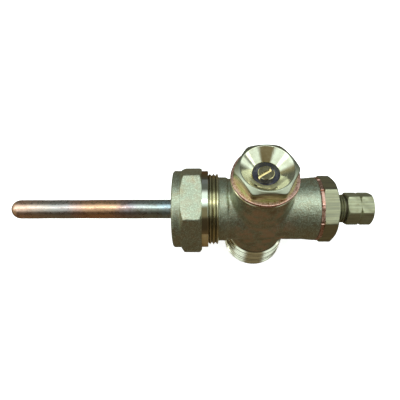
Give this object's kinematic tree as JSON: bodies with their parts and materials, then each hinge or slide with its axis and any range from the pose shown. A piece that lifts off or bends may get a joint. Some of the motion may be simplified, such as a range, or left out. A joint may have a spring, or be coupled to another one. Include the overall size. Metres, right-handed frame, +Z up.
{
  "type": "lockshield valve",
  "caption": "Angle lockshield valve in forged brass: threaded outlet, compression inlet around a long closed copper sensor pocket, dished hex bonnet and sensor gland.",
  "frame": {"origin": "centre of the outlet's end face, on the branch axis", "axes": "+Z up the branch from the outlet to the lockshield bonnet; +X along the main run from the sensor pocket's tip to the gland; the main run's axis is 31.1 mm above the origin"},
  "size_m": [0.1522, 0.0366, 0.0618],
  "materials": {
    "forged_brass": "sand-blasted hot forging with machined ends",
    "turned_brass": "bright turned and drawn brass",
    "heat_tinted_copper": "drawn copper tube, tinted by brazing",
    "copper_washer": "bright soft copper",
    "silver_braze": "silver brazing alloy",
    "rubber": "black EPDM",
    "ptfe": "white PTFE",
    "spring_steel": "phosphated spring steel"
  },
  "bodies": {
    "valve": {"valve_body": "forged_brass", "sensor_pocket": "heat_tinted_copper", "pocket_adapter": "turned_brass", "adapter_washer": "copper_washer", "pocket_braze": "silver_braze", "gland_seal": "rubber", "lockshield_bonnet": "turned_brass", "bonnet_washer": "copper_washer", "spindle_packing": "rubber", "thrust_washer": "ptfe", "spindle_circlip": "spring_steel"},
    "union_olive": {"union_olive": "turned_brass"},
    "union_nut": {"union_nut": "forged_brass"},
    "gland_washer": {"gland_washer": "turned_brass"},
    "gland_screw": {"gland_screw": "turned_brass"},
    "spindle": {"spindle": "turned_brass", "spindle_o_ring_upper": "rubber", "spindle_o_ring_lower": "rubber"},
    "carrier": {"disc_carrier": "turned_brass", "valve_disc": "turned_brass", "disc_seal": "rubber", "disc_screw": "turned_brass"}
  },
  "joints": [
    {"name": "union_nut_advance", "type": "slide", "parent": "valve", "child": "union_olive", "axis": [1, 0, 0], "range_m": [-0.003, 0.0015]},
    {"name": "union_nut_turn", "type": "hinge", "parent": "union_olive", "child": "union_nut", "pos_m": [0, 0, 0.0311], "axis": [1, 0, 0], "range_deg": [-720, 360]},
    {"name": "gland_advance", "type": "slide", "parent": "valve", "child": "gland_washer", "axis": [1, 0, 0], "range_m": [-0.00275, 0.002]},
    {"name": "gland_screw_turn", "type": "hinge", "parent": "gland_washer", "child": "gland_screw", "pos_m": [0, 0, 0.0311], "axis": [1, 0, 0], "range_deg": [-990, 720]},
    {"name": "spindle_turn", "type": "hinge", "parent": "valve", "child": "spindle", "pos_m": [0, 0, 0], "axis": [0, 0, 1], "range_deg": [-1800, 0]},
    {"name": "disc_travel", "type": "slide", "parent": "valve", "child": "carrier", "axis": [0, 0, 1], "range_m": [-0.005, 0]}
  ],
  "couplings": [
    {"joint": "union_nut_advance", "follows": "union_nut_turn", "m_per_rad": 0.00023873},
    {"joint": "gland_advance", "follows": "gland_screw_turn", "m_per_rad": 0.00015915},
    {"joint": "spindle_turn", "follows": "disc_travel", "rad_per_m": 6283.2}
  ]
}
